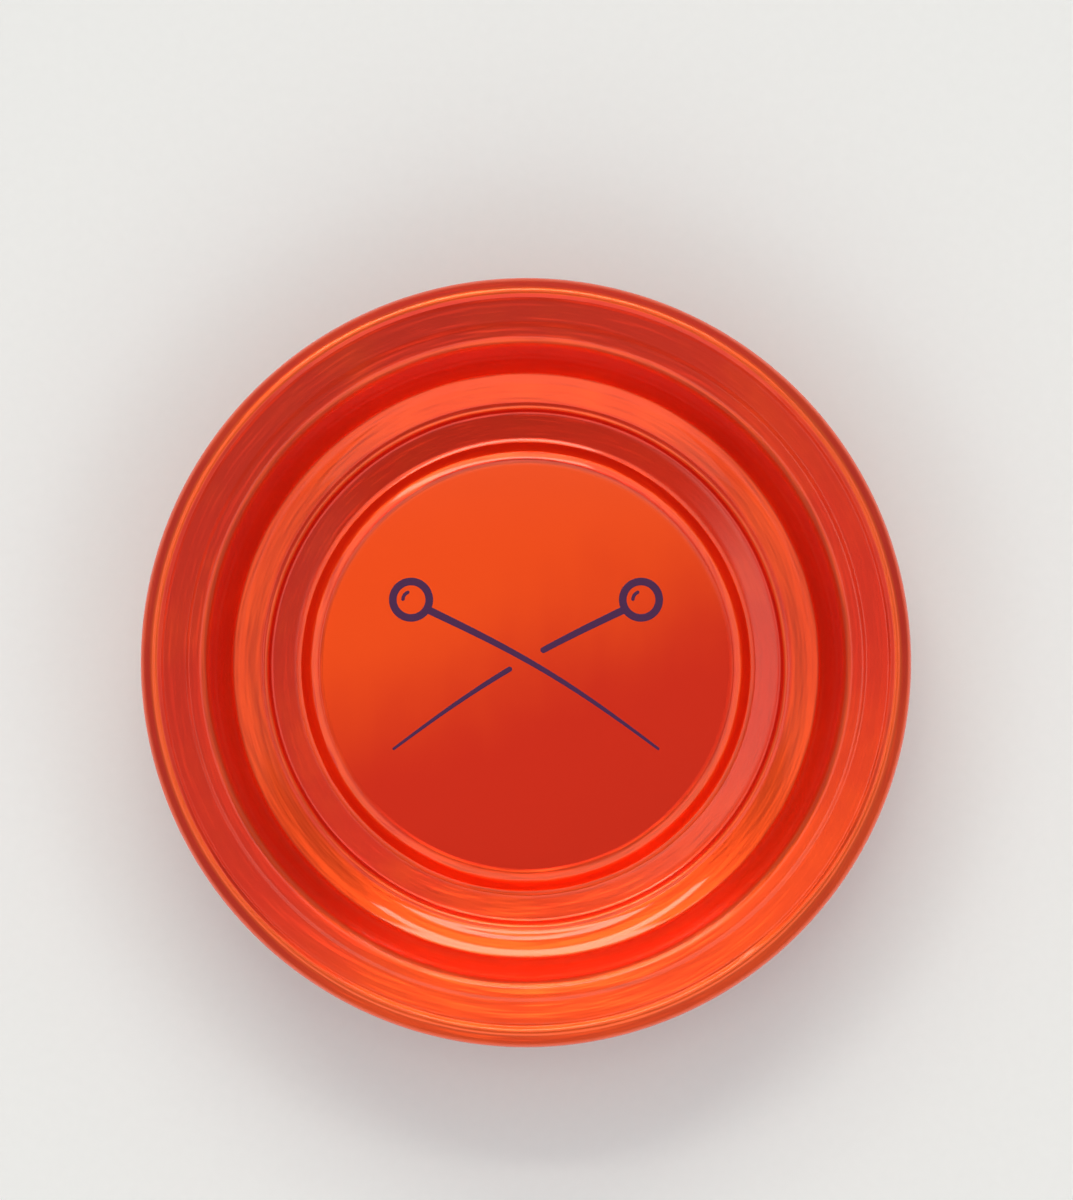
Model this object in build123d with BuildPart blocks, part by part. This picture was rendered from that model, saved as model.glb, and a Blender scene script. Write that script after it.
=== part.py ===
from build123d import *
import os
from math import atan2, degrees, radians, tan

# Magnetic pin bowl: a dish drawn from thin sheet metal and lacquered, with a flat pot magnet
# bonded under its raised middle and a moulded rubber boot that covers the magnet.
# Lengths are in millimetres. The bowl stands on its boot at z = 0, opens upwards, and
# its axis is the Z axis.

# Fits between pieces, and how far a cutting body runs past the face that it cuts
fit_clearance = 0.05
cut_overrun = 1.0

# Sheet metal of the dish
sheet_thickness = 0.6
small_bend_inside = 0.5
soft_bend_inside = 1.5
foot_crown_inside = 16
wall_foot_bend_inside = 0.9
wall_shoulder_bend_inside = 2.0
bend_room_share = 0.45

# Rings of the dish, from the middle outwards, along the sheet's middle line
platform_radius = 29.5
platform_bevel_run = 1.1
platform_bevel_drop = 0.35
platform_drop_run = 1.3
platform_drop = 1.22
platform_toe_run = 0.8
platform_toe_drop = 0.23
floor_width = 3.45
floor_rise = 0.46
floor_bevel_run = 0.45
floor_bevel_rise = 0.17
riser_run = 0.55
riser_height = 0.9
ledge_width = 0.65
ledge_rise = 0.05
foot_lower_run = 2.1
foot_lower_rise = 1.24
foot_upper_run = 2.1
foot_upper_rise = 0.91
wall_run = 2.9
wall_height = 10.65
inner_brim_width = 2.2
inner_brim_rise = 0.59
crease_width = 0.6
crease_rise = 0.03
outer_brim_width = 3.0
outer_brim_rise = 0.66
valley_width = 0.4
crest_run = 0.8
crest_rise = 0.46
flank_run = 1.2
flank_drop = 0.9

# Curled edge of the dish: outside radius, and how far it turns on past its outermost side
curl_radius = 1.8
curl_wrap_angle = 150

# Pot magnet: a ferrite ring in a pressed steel cup, held by an eyelet
cup_inset = 0.4
cup_sheet = 1.2
cup_corner_inside = 0.6
cup_rim_edge = 0.3
magnet_thickness = 6.0
magnet_gap = 2.0
magnet_bore_radius = 5.0
magnet_edge_chamfer = 0.4
gap_ring_edge = 0.3
eyelet_sheet = 0.4
eyelet_flange_width = 2.5
eyelet_foot_width = 1.4
washer_thickness = 0.3
washer_overhang = 0.5

# Acrylic tape that bonds the pot magnet to the dish: room over the eyelet and margins in plan
tape_headroom = 0.3
tape_washer_margin = 1.0
tape_cup_margin = 0.5

# Rubber boot: ribbed foot, wall around the cup, and the lip that is glued to the dish
boot_rib_height = 0.8
boot_floor = 1.6
boot_wall = 3.0
boot_draft = 3
boot_foot_edge = 1.0
boot_lip_reach_share = 0.7
boot_lip_thickness = 1.4
boot_lip_edge = 0.4
boot_neck_bend = 0.8
foot_ring_width = 3.4
foot_centre_radius = 12.0
foot_rib_count = 3
foot_rib_width = 1.5
foot_rib_edge = 0.25
glue_thickness = 0.3
glue_margin = 0.3

# Levels of the stack, from the table upwards
cup_base_z = boot_rib_height + boot_floor
magnet_base_z = cup_base_z + cup_sheet
magnet_top_z = magnet_base_z + magnet_thickness
washer_top_z = magnet_top_z + washer_thickness
eyelet_top_z = washer_top_z + eyelet_sheet
platform_underside_z = eyelet_top_z + tape_headroom
platform_middle_z = platform_underside_z + sheet_thickness / 2
floor_middle_z = platform_middle_z - platform_bevel_drop - platform_drop - platform_toe_drop
floor_underside_z = floor_middle_z - sheet_thickness / 2
boot_top_z = floor_underside_z - glue_thickness

# Radii that follow from the dish's raised middle, from the cup outwards and inwards
cup_radius = platform_radius - cup_inset
cup_inside_radius = cup_radius - cup_sheet
magnet_radius = cup_inside_radius - magnet_gap
eyelet_barrel_radius = magnet_bore_radius - fit_clearance
eyelet_flange_radius = eyelet_barrel_radius + eyelet_flange_width
eyelet_foot_radius = eyelet_barrel_radius + eyelet_foot_width
washer_radius = eyelet_flange_radius + washer_overhang
boot_radius = cup_radius + boot_wall
boot_foot_radius = boot_radius - boot_top_z * tan(radians(boot_draft))
foot_ring_inner_radius = boot_foot_radius - foot_ring_width
floor_inner_radius = platform_radius + platform_bevel_run + platform_drop_run + platform_toe_run
boot_lip_radius = floor_inner_radius + boot_lip_reach_share * floor_width


def bend_setback(before, corner, after, bend):
    """Length of straight that a bend of this radius takes up on each side of its corner."""
    turn = (corner - before).get_angle(after - corner)
    return bend * tan(radians(turn) / 2)


def fitting_bend(before, corner, after, wanted):
    """The wanted bend radius, or the largest that the straights beside the corner have room for."""
    room = bend_room_share * min((corner - before).length, (after - corner).length)
    return wanted * min(1, room / bend_setback(before, corner, after, wanted))


# The sheet's middle line: each move leads outwards and upwards to the next corner
sheet_moves = [
    (platform_radius, 0),
    (platform_bevel_run, -platform_bevel_drop),
    (platform_drop_run, -platform_drop),
    (platform_toe_run, -platform_toe_drop),
    (floor_width, floor_rise),
    (floor_bevel_run, floor_bevel_rise),
    (riser_run, riser_height),
    (ledge_width, ledge_rise),
    (foot_lower_run, foot_lower_rise),
    (foot_upper_run, foot_upper_rise),
    (wall_run, wall_height),
    (inner_brim_width, inner_brim_rise),
    (crease_width, crease_rise),
    (outer_brim_width, outer_brim_rise),
    (valley_width, 0),
    (crest_run, crest_rise),
    (flank_run, -flank_drop),
]
sheet_corners = [Vector(0, platform_middle_z)]
for run, rise in sheet_moves:
    sheet_corners.append(sheet_corners[-1] + Vector(run, rise))

# Small bends from the platform's edge to the foot, then the foot's crown, the wall's two bends,
# the crease's soft pair and small bends again from the valley to the crest
bends_inside = [small_bend_inside] * 8
bends_inside += [foot_crown_inside, wall_foot_bend_inside, wall_shoulder_bend_inside]
bends_inside += [soft_bend_inside] * 2
bends_inside += [small_bend_inside] * 3
sheet_bends = [
    fitting_bend(*sheet_corners[index : index + 3], inside + sheet_thickness / 2)
    for index, inside in enumerate(bends_inside)
]

# The curl carries on from the flank: first to its outermost side, then inwards below the brim
curl_middle_radius = curl_radius - sheet_thickness / 2
flank_lean = degrees(atan2(flank_drop, flank_run))
curl_turn = 90 - flank_lean + curl_wrap_angle

# Dish: one sheet, drawn into a raised middle, a ring-shaped floor, a wall and a creased brim
with BuildPart() as bowl:
    with BuildSketch(Plane.XZ):
        with BuildLine():
            rings_line = FilletPolyline(*sheet_corners, radius=sheet_bends)
            JernArc(rings_line @ 1, rings_line % 1, curl_middle_radius, -curl_turn)
        trace(line_width=sheet_thickness)
    revolve(axis=Axis.Z)

# Cup: pressed from steel sheet, open upwards, with a hole for the eyelet
with BuildPart() as magnet_cup:
    with BuildSketch(Plane.XY.offset(cup_base_z)):
        Circle(cup_radius)
    extrude(amount=magnet_top_z - cup_base_z)
    fillet(magnet_cup.edges().group_by(Axis.Z)[0], radius=cup_corner_inside + cup_sheet)
    offset(amount=-cup_sheet, openings=magnet_cup.faces().sort_by(Axis.Z)[-1])
    with Locations((0, 0, magnet_base_z)):
        Hole(magnet_bore_radius)
    fillet(magnet_cup.edges().group_by(Axis.Z)[-1].sort_by(SortBy.LENGTH)[-1], radius=cup_rim_edge)

# Ferrite ring: rests on the cup's floor, level with the cup's rim
with BuildPart() as ring_magnet:
    with BuildSketch(Plane.XY.offset(magnet_base_z)):
        Circle(magnet_radius)
        Circle(magnet_bore_radius, mode=Mode.SUBTRACT)
    extrude(amount=magnet_thickness)
    chamfer(ring_magnet.edges().filter_by(GeomType.CIRCLE), length=magnet_edge_chamfer)

# Gap ring: plastic, keeps the magnet in the middle of the cup
gap_ring_base_z = magnet_base_z + cup_corner_inside
with BuildPart() as gap_ring:
    with BuildSketch(Plane.XY.offset(gap_ring_base_z)):
        Circle(cup_inside_radius - fit_clearance)
        Circle(magnet_radius + fit_clearance, mode=Mode.SUBTRACT)
    extrude(amount=magnet_top_z - gap_ring_base_z)
    chamfer(gap_ring.edges().group_by(Axis.Z)[0], length=gap_ring_edge)

# Fibre washer: spreads the eyelet's grip over the brittle magnet
with BuildPart() as fibre_washer:
    with BuildSketch(Plane.XY.offset(magnet_top_z)):
        Circle(washer_radius)
        Circle(magnet_bore_radius, mode=Mode.SUBTRACT)
    extrude(amount=washer_thickness)

# Eyelet: a thin barrel through magnet and cup, with a flange above and a rolled foot below
eyelet_middle_radius = eyelet_barrel_radius - eyelet_sheet / 2
eyelet_foot_middle_z = cup_base_z - eyelet_sheet / 2
with BuildPart() as clamp_eyelet:
    with BuildSketch(Plane.XZ):
        with BuildLine():
            Polyline(
                (eyelet_foot_radius, eyelet_foot_middle_z),
                (eyelet_middle_radius, eyelet_foot_middle_z),
                (eyelet_middle_radius, eyelet_top_z - eyelet_sheet / 2),
                (eyelet_flange_radius, eyelet_top_z - eyelet_sheet / 2),
            )
        trace(line_width=eyelet_sheet)
    revolve(axis=Axis.Z)

# Bonding tape: a ring between the pot magnet and the underside of the dish's raised middle
with BuildPart() as bonding_tape:
    with BuildSketch(Plane.XY.offset(magnet_top_z)):
        Circle(cup_radius - tape_cup_margin)
        Circle(washer_radius + tape_washer_margin, mode=Mode.SUBTRACT)
    extrude(amount=platform_underside_z - magnet_top_z)

# Boot: soft rubber, tapers down to a ribbed foot, and its lip lies under the dish's floor
foot_rib_pitch = (foot_ring_inner_radius - foot_centre_radius) / foot_rib_count
eyelet_pocket_depth = eyelet_sheet + fit_clearance
with BuildPart() as base_boot:
    with BuildSketch(Plane.XY):
        Circle(boot_foot_radius)
    extrude(amount=boot_top_z, taper=-boot_draft)
    fillet(base_boot.edges().group_by(Axis.Z)[0], radius=boot_foot_edge)
    with BuildSketch(Plane.XY.offset(boot_top_z - boot_lip_thickness)):
        Circle(boot_lip_radius)
    extrude(amount=boot_lip_thickness)
    lip_edges = base_boot.edges().filter_by(GeomType.CIRCLE).sort_by(SortBy.RADIUS)
    fillet(lip_edges[-2:], radius=boot_lip_edge)
    lip_underside = base_boot.faces().filter_by(Axis.Z).sort_by(Axis.Z)[-2]
    fillet(lip_underside.edges().sort_by(SortBy.RADIUS)[0], radius=boot_neck_bend)

    # Pocket for the cup, and a shallow one below it for the eyelet's foot
    with BuildSketch(Plane.XY.offset(cup_base_z)):
        Circle(cup_radius + fit_clearance)
    extrude(amount=boot_top_z + cut_overrun - cup_base_z, mode=Mode.SUBTRACT)
    pocket_floor = base_boot.faces().filter_by(Axis.Z).sort_by(Axis.Z)[1]
    fillet(pocket_floor.edges(), radius=cup_corner_inside + cup_sheet)
    with BuildSketch(Plane.XY.offset(cup_base_z - eyelet_pocket_depth)):
        Circle(eyelet_foot_radius + magnet_gap)
    extrude(amount=eyelet_pocket_depth + cut_overrun, mode=Mode.SUBTRACT)

    # Grooves leave the foot ring and the grip ribs standing, around a bare middle
    with BuildSketch(Plane.XY):
        for rib in range(foot_rib_count):
            groove_outer_radius = foot_ring_inner_radius - rib * foot_rib_pitch
            Circle(groove_outer_radius)
            Circle(groove_outer_radius - foot_rib_pitch + foot_rib_width, mode=Mode.SUBTRACT)
        Circle(foot_centre_radius)
    extrude(amount=boot_rib_height, mode=Mode.SUBTRACT)
    rib_edges = base_boot.edges().group_by(Axis.Z)[0]
    fillet(rib_edges, radius=foot_rib_edge)

# Glue: a ring that fills the wedge between the boot's lip and the underside of the sloping floor
glue_inner_radius = floor_inner_radius - glue_margin
with BuildPart() as boot_glue_ring:
    with BuildSketch(Plane.XY.offset(boot_top_z)):
        Circle(boot_lip_radius - boot_lip_edge - glue_margin)
        Circle(glue_inner_radius, mode=Mode.SUBTRACT)
    extrude(amount=glue_thickness + boot_lip_reach_share * floor_rise)
    add(bowl.part, mode=Mode.SUBTRACT)

pieces = {
    "bowl": bowl,
    "magnet_cup": magnet_cup,
    "ring_magnet": ring_magnet,
    "gap_ring": gap_ring,
    "fibre_washer": fibre_washer,
    "clamp_eyelet": clamp_eyelet,
    "bonding_tape": bonding_tape,
    "base_boot": base_boot,
    "boot_glue_ring": boot_glue_ring,
}
os.makedirs("parts", exist_ok=True)
for name, piece in pieces.items():
    piece.part.label = name
    export_step(piece.part, f"parts/{name}.step")
bowl_box = bowl.part.bounding_box()
print(f"bowl diameter {bowl_box.size.X:.2f} mm, overall height {bowl_box.max.Z:.2f} mm")
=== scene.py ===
from math import cos, pi, radians, sin

import bpy
import numpy as np
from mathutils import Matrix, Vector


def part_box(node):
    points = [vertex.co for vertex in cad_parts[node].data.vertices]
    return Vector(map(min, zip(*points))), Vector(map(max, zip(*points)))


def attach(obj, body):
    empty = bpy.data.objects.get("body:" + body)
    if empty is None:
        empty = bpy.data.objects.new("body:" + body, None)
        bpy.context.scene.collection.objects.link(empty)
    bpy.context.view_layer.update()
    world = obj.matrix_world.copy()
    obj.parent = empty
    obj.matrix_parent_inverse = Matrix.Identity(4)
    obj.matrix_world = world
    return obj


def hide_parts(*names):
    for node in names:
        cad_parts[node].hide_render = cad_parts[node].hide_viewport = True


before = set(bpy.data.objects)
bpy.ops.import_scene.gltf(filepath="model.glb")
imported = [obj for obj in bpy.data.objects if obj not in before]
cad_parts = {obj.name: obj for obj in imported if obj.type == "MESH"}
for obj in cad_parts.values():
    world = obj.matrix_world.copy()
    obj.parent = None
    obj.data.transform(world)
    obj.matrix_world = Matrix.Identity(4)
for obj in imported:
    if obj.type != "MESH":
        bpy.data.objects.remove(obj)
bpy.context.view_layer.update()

bl_info = {
    "name": "Magnetic Pin Bowl",
    "version": (1, 0, 0),
    "blender": (4, 5, 0),
    "location": "View3D > Sidebar > Pin Bowl",
    "description": "Draws the lacquered bowl, its print and its rubber boot around the packed model",
    "category": "Object",
}

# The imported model: its box before anything is added, and the pieces that other sizes follow
_, bowl_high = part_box("bowl")
boot_low, boot_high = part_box("base_boot")
cup_low, cup_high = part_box("magnet_cup")
eyelet_low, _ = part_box("clamp_eyelet")
_, tape_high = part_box("bonding_tape")

MM = 0.001

# The photograph's frame in pixels, and the bowl's rim in it
FRAME_WIDTH_PX = 1073
FRAME_HEIGHT_PX = 1200
RIM_CENTRE_X_PX = 526.0
RIM_CENTRE_Y_PX = 660.3
RIM_RADIUS_PX = 386.5


def length(name, millimetres, description):
    """A length that a user can set, stored in metres."""
    return bpy.props.FloatProperty(
        name=name, description=description, default=millimetres * MM, min=0, unit="LENGTH", precision=5
    )


def angle(name, degrees, description):
    """An angle that a user can set, stored in radians."""
    return bpy.props.FloatProperty(
        name=name, description=description, default=radians(degrees), unit="ROTATION"
    )


def share(name, default, description):
    """A share from 0 to 1 that a user can set."""
    return bpy.props.FloatProperty(
        name=name, description=description, default=default, min=0, max=1, subtype="FACTOR"
    )


def amount(name, default, description):
    """A plain number that a user can set."""
    return bpy.props.FloatProperty(name=name, description=description, default=default, min=0)


def count(name, default, description):
    """A whole number that a user can set."""
    return bpy.props.IntProperty(name=name, description=description, default=default, min=3)


def colour(name, default, description):
    """A colour that a user can set, in linear light."""
    return bpy.props.FloatVectorProperty(
        name=name, description=description, default=default, size=3, min=0, max=1, subtype="COLOR"
    )


class BowlSizes(bpy.types.PropertyGroup):
    """Rings of the dish from the middle outwards, along the middle line of its sheet."""

    sheet: length("Sheet", 0.6, "Thickness of the sheet metal")
    platform_radius: length("Platform radius", 29.5, "Radius of the flat middle")
    platform_bevel_run: length("Platform bevel run", 1.1, "Width of the bevel around the raised middle")
    platform_bevel_drop: length("Platform bevel drop", 0.35, "How far the bevel falls")
    platform_drop_run: length("Platform drop run", 1.3, "Width of the steeper slope outside the bevel")
    platform_drop: length("Platform drop", 1.22, "How far the slope falls")
    platform_toe_run: length("Platform toe run", 0.8, "Width of the toe at the slope's foot")
    platform_toe_drop: length("Platform toe drop", 0.23, "How far the toe falls")
    floor_width: length("Floor width", 3.45, "Width of the ring-shaped floor")
    floor_rise: length("Floor rise", 0.46, "Height that the floor gains outwards")
    floor_bevel_run: length("Floor bevel run", 0.45, "Width of the bevel at the riser's foot")
    floor_bevel_rise: length("Floor bevel rise", 0.17, "Height that the bevel gains")
    riser_run: length("Riser run", 0.55, "Width of the steep riser around the floor")
    riser_height: length("Riser height", 0.9, "Height of the riser")
    ledge_width: length("Ledge width", 0.65, "Width of the narrow ledge over the riser")
    ledge_rise: length("Ledge rise", 0.05, "Height that the ledge gains")
    foot_lower_run: length("Foot lower run", 2.1, "Width of the lower half of the wall's sloping foot")
    foot_lower_rise: length("Foot lower rise", 1.24, "Height that the lower half gains")
    foot_upper_run: length("Foot upper run", 2.1, "Width of the upper half of the wall's sloping foot")
    foot_upper_rise: length("Foot upper rise", 0.91, "Height that the upper half gains")
    wall_run: length("Wall run", 2.9, "How far the wall leans outwards")
    wall_height: length("Wall height", 10.65, "Height of the wall")
    inner_brim_width: length("Inner brim width", 2.2, "Width of the brim's inner ring")
    inner_brim_rise: length("Inner brim rise", 0.59, "Height that the inner ring gains")
    crease_width: length("Crease width", 0.6, "Width of the nearly level crease in the brim")
    crease_rise: length("Crease rise", 0.03, "Height that the crease gains")
    outer_brim_width: length("Outer brim width", 3.0, "Width of the brim's outer ring")
    outer_brim_rise: length("Outer brim rise", 0.66, "Height that the outer ring gains")
    valley_width: length("Valley width", 0.4, "Width of the level valley inside the crest")
    crest_run: length("Crest run", 0.8, "Width of the rise from the valley to the crest")
    crest_rise: length("Crest rise", 0.46, "Height of that rise")
    flank_run: length("Flank run", 1.2, "Width of the flank outside the crest")
    flank_drop: length("Flank drop", 0.9, "How far the flank falls")
    curl_radius: length("Curl radius", 1.8, "Outside radius of the curled edge")
    curl_wrap: angle("Curl wrap", 150, "How far the curl turns on past its outermost side")
    small_bend: length("Small bend", 0.5, "Inside radius of the small bends")
    soft_bend: length("Soft bend", 1.5, "Inside radius of the soft bends of the crease")
    foot_crown_bend: length("Foot crown bend", 16, "Inside radius of the gentle crown of the wall's foot")
    wall_foot_bend: length("Wall foot bend", 0.9, "Inside radius of the bend between the wall and its foot")
    shoulder_bend: length("Shoulder bend", 2.0, "Inside radius of the bend at the top of the wall")
    bend_room: share("Bend room", 0.45, "Share of the shorter straight that a bend may take up")
    segments: count("Segments", 256, "Faces around the axis")
    spacing: length("Spacing", 0.8, "Longest step along a straight of the section")
    bend_step: angle("Bend step", 7, "Turn from point to point in a bend of the section")
    crest_reach: length("Crest reach", 1.2, "Run along the sheet that tells a crest from a hollow")


class PrintSizes(bpy.types.PropertyGroup):
    """Two crossed ball-headed pins, screen printed on the raised middle."""

    span: length("Span", 38, "Width of the printed pins")
    rise: length("Rise", 24, "Height of the printed pins")
    bow: length("Bow", 1.2, "How far each pin's shaft is bowed")
    line: length("Line", 1.1, "Width of the printed line")
    tip_line: length("Tip line", 0.4, "Width of the line at a pin's point")
    head_radius: length("Head radius", 2.6, "Radius of a pin's ball head, to the middle of its line")
    glint_radius: length("Glint radius", 1.15, "Radius of the small arc that marks the ball's shine")
    glint_line: length("Glint line", 0.5, "Width of that arc's line")
    glint_start: angle("Glint start", 100, "Where that arc starts, from the right")
    glint_end: angle("Glint end", 190, "Where that arc ends, from the right")
    crossing_gap: length("Crossing gap", 0.9, "Bare gap beside the front pin where it crosses the other")
    film: length("Film", 0.03, "Thickness of the ink")
    spacing: length("Spacing", 0.12, "Step along a printed line")
    sides: count("Sides", 12, "Corners of the ink's section")


class BootSizes(bpy.types.PropertyGroup):
    """Rubber boot around the magnet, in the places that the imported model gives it."""

    rib_height: length("Rib height", 0.8, "Height of the foot ring and the grip ribs")
    wall: length("Wall", 3.0, "Thickness of the boot's wall at its top")
    draft: angle("Draft", 3, "Lean of the boot's side")
    foot_edge: length("Foot edge", 1.0, "Radius of the boot's lower outer edge")
    lip_thickness: length("Lip thickness", 1.4, "Thickness of the lip under the dish")
    lip_edge: length("Lip edge", 0.4, "Radius of the lip's edges")
    neck_bend: length("Neck bend", 0.8, "Radius of the bend between side and lip")
    foot_ring_width: length("Foot ring width", 3.4, "Width of the ring that the boot stands on")
    foot_centre_radius: length("Foot centre radius", 12, "Radius of the bare middle of the underside")
    rib_count: count("Rib count", 3, "Grip ribs between the foot ring and the bare middle")
    rib_width: length("Rib width", 1.5, "Width of a grip rib")
    rib_edge: length("Rib edge", 0.25, "Radius of the ribs' edges")
    cup_corner: length("Cup corner", 1.8, "Radius of the cup's outer corner")
    clearance: length("Clearance", 0.05, "Gap around the cup and below the eyelet's foot")
    eyelet_pocket: length("Eyelet pocket", 8.35, "Radius of the shallow pocket around the eyelet's foot")
    mould_edge: length("Mould edge", 0.15, "Radius of the edges that the mould leaves sharp")
    segments: count("Segments", 224, "Faces around the axis")
    spacing: length("Spacing", 0.9, "Longest step along a straight of the section")
    bend_step: angle("Bend step", 12, "Turn from point to point in a bend of the section")


class Finishes(bpy.types.PropertyGroup):
    """Colours of the pieces, in linear light."""

    # Thin and thick lacquer also serve as lit and shaded copies that paint light and shade on the bowl; the
    # edge lacquer is partly a painted highlight
    thin_and_lit_lacquer: colour("Thin lacquer", (1.0, 0.09, 0.013), "Candy lacquer where it is thin")
    thick_and_shaded_lacquer: colour("Thick lacquer", (0.75, 0.034, 0.013), "Candy lacquer where it has pooled")
    edge_and_highlight_lacquer: colour("Edge lacquer", (0.96, 0.11, 0.02), "Candy lacquer drawn thin over a sharp bend")
    lacquer_roughness: share("Lacquer roughness", 0.36, "Roughness of the metal under the lacquer")
    ink: colour("Ink", (0.050, 0.008, 0.060), "Dark violet print")
    boot_rubber: colour("Boot rubber", (0.017, 0.017, 0.018), "Black rubber")
    zinc: colour("Zinc", (0.60, 0.61, 0.62), "Zinc plate of the magnet's cup")
    ferrite: colour("Ferrite", (0.030, 0.030, 0.033), "Dark grey ferrite")
    nylon: colour("Nylon", (0.050, 0.050, 0.053), "Dark plastic gap ring")
    fibre: colour("Fibre", (0.16, 0.022, 0.012), "Dark red vulcanised fibre")
    brass: colour("Brass", (0.66, 0.42, 0.14), "Drawn brass")
    tape: colour("Tape", (0.70, 0.70, 0.66), "White bonding tape")
    glue: colour("Glue", (0.36, 0.21, 0.06), "Cured amber adhesive")


class StageSettings(bpy.types.PropertyGroup):
    """Camera, floor and lights."""

    camera_distance: length("Camera distance", 700, "From the bowl's rim to the camera")
    camera_tilt: angle("Camera tilt", 3, "Lean of the camera from straight above")
    floor_colour: colour("Floor", (0.85, 0.88, 0.92), "Pale floor")
    floor_size: length("Floor size", 6000, "Side of the floor")
    warm_light: colour("Warm light", (1.0, 0.93, 0.80), "Colour of the roof, the back and the sides")
    front_light: colour("Front light", (1.0, 0.98, 0.88), "Colour of the softbox in front")
    tent_level: amount("Tent level", 0.36, "Brightness of the tent's sides")
    roof_level: amount("Roof level", 2.4, "Brightness of the tent's roof")
    hatch_level: amount("Hatch level", 0.12, "Brightness of the dark hatch that the camera looks through")
    ring_level: amount("Ring level", 1.45, "Brightness of the narrow ring of light around the roof")
    side_level: amount("Side level", 0.8, "Brightness of the panels on the left and right")
    front_level: amount("Front level", 1.35, "Brightness of the softbox in front")
    back_level: amount("Back level", 0.25, "Brightness of the wide softbox at the back")
    strip_level: amount("Strip level", 10, "Brightness of the narrow strip lamps at the back")


class PinBowlSettings(bpy.types.PropertyGroup):
    """All the settings of the pin bowl."""

    bowl: bpy.props.PointerProperty(type=BowlSizes, name="Bowl", description="Sizes of the dish")
    print: bpy.props.PointerProperty(type=PrintSizes, name="Print", description="Sizes of the print")
    boot: bpy.props.PointerProperty(type=BootSizes, name="Boot", description="Sizes of the rubber boot")
    finishes: bpy.props.PointerProperty(type=Finishes, name="Finishes", description="Colours of the pieces")
    stage: bpy.props.PointerProperty(type=StageSettings, name="Stage", description="Camera, floor and lights")


# Lines in a section: rows of radius, height and heading, where heading is the angle of travel


def left_of(heading):
    """Unit vectors square to the headings, on their left side."""
    return np.stack([-np.sin(heading), np.cos(heading)], axis=-1)


def straight(start, end, spacing):
    """Start plus a growing share of the run to the end, in equal steps no longer than the spacing."""
    run = np.subtract(end, start)
    steps = int(np.ceil(np.hypot(*run) / spacing)) + 1
    shares = np.linspace(0, 1, max(steps, 2))
    heading = np.full(len(shares), np.arctan2(run[1], run[0]))
    return np.column_stack([start + shares[:, None] * run, heading])


def arc(start, bend, first_heading, turn, step):
    """Centre minus the bend radius times the side vector, while the heading grows by the turn.

    A left turn has its centre on the left of the start, a right turn on the right."""
    side = bend * np.sign(turn)
    centre = start + side * left_of(first_heading)
    steps = int(np.ceil(abs(turn) / step)) + 1
    heading = first_heading + np.linspace(0, turn, max(steps, 3))
    return np.column_stack([centre - side * left_of(heading), heading])


def rounded_line(corners, bends, spacing, step):
    """Straights from corner to corner, each inner corner replaced by an arc that touches both.

    An arc starts and ends its bend radius times the tangent of half the turn away from the corner."""
    corners = np.asarray(corners, float)
    runs = np.diff(corners, axis=0)
    headings = np.arctan2(runs[:, 1], runs[:, 0])
    turns = (np.diff(headings) + pi) % (2 * pi) - pi
    setbacks = np.asarray(bends) * np.tan(np.abs(turns) / 2)
    directions = runs / np.hypot(*runs.T)[:, None]
    starts = corners[:-1] + directions * np.append(0, setbacks)[:, None]
    ends = corners[1:] - directions * np.append(setbacks, 0)[:, None]
    stretches = [straight(starts[0], ends[0], spacing)]
    for index, turn in enumerate(turns):
        stretches.append(arc(ends[index], bends[index], headings[index], turn, step)[1:])
        stretches.append(straight(starts[index + 1], ends[index + 1], spacing)[1:])
    return np.vstack(stretches)


def fitting_bends(corners, wanted, room_share):
    """The wanted bend radii, each limited to what a share of the shorter straight beside it allows."""
    runs = np.diff(np.asarray(corners, float), axis=0)
    lengths = np.hypot(*runs.T)
    turns = np.abs(np.diff(np.arctan2(runs[:, 1], runs[:, 0])))
    room = room_share * np.minimum(lengths[:-1], lengths[1:])
    return np.minimum(wanted, room / np.tan(turns / 2))


def sheet_outline(line, thickness, step):
    """Both faces of a sheet: the line moved half a thickness to each side, joined by a round edge.

    The way leads out along the left face, round the edge and back along the right face."""
    half = thickness / 2
    heading = line[:, 2]
    offset = half * left_of(heading)
    edge_angles = heading[-1] + np.linspace(pi / 2, -pi / 2, int(pi / step))[1:-1]
    edge = line[-1, :2] + half * np.column_stack([np.cos(edge_angles), np.sin(edge_angles)])
    return np.vstack([line[:, :2] + offset, edge, (line[:, :2] - offset)[::-1]])


def revolve(outline, segments):
    """Radius times cosine, radius times sine, height, over a full turn; both ends lie on the axis.

    Returns the points and the faces: quads between rows, and a fan of triangles at each end."""
    turn = np.linspace(0, 2 * pi, segments, endpoint=False)
    radius, height = outline[1:-1, 0, None], outline[1:-1, 1, None]
    rows = np.stack([radius * np.cos(turn), radius * np.sin(turn), height + 0 * turn], axis=-1)
    first, last = outline[0], outline[-1]
    points = np.vstack([(0, 0, first[1]), rows.reshape(-1, 3), (0, 0, last[1])])
    index = 1 + np.arange(rows.shape[0] * segments).reshape(rows.shape[:2])
    after = np.roll(index, -1, axis=1)
    quads = np.stack([index[:-1], index[1:], after[1:], after[:-1]], axis=-1).reshape(-1, 4)
    first_fan = np.column_stack([np.zeros(segments, int), index[0], after[0]])
    last_fan = np.column_stack([index[-1], np.full(segments, len(points) - 1), after[-1]])
    return points, quads.tolist() + first_fan.tolist() + last_fan.tolist()


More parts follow.
